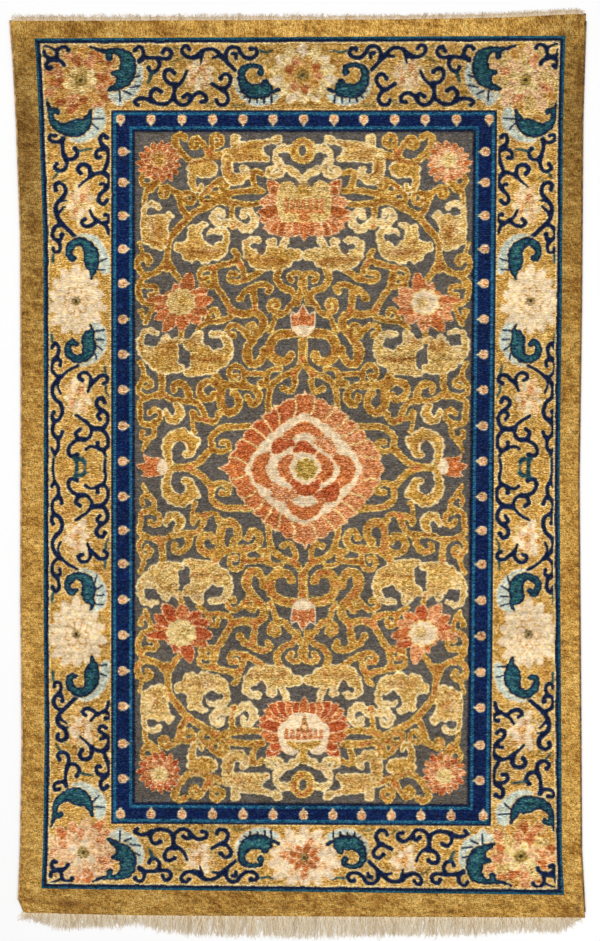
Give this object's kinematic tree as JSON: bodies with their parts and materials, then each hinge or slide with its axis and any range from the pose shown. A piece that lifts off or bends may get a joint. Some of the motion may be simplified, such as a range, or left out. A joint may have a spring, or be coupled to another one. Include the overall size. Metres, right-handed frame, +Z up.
{
  "type": "chinese palace carpet",
  "caption": "Flat rectangular silk and metal-thread carpet with a raised lotus scroll field, patterned borders and warp fringes, lying face up.",
  "frame": {"origin": "on the floor under the middle of the whole carpet, fringes included", "axes": "+X across the carpet to the right as seen from above, +Y along it towards the worn short fringe, +Z up out of the pile"},
  "size_m": [1.55, 2.4874, 0.0065],
  "materials": {
    "silk_pile": "cut silk pile, soft sheen",
    "metal_ground": "woven metal thread, dull",
    "side_cord": "overcast cotton yarn, matt",
    "warp_yarn": "loose cotton warp yarn, matt"
  },
  "bodies": {
    "root": {"carpet": "silk_pile", "selvedge_left": "side_cord", "selvedge_right": "side_cord", "fringe_bottom": "warp_yarn", "fringe_top": "warp_yarn"}
  },
  "joints": []
}
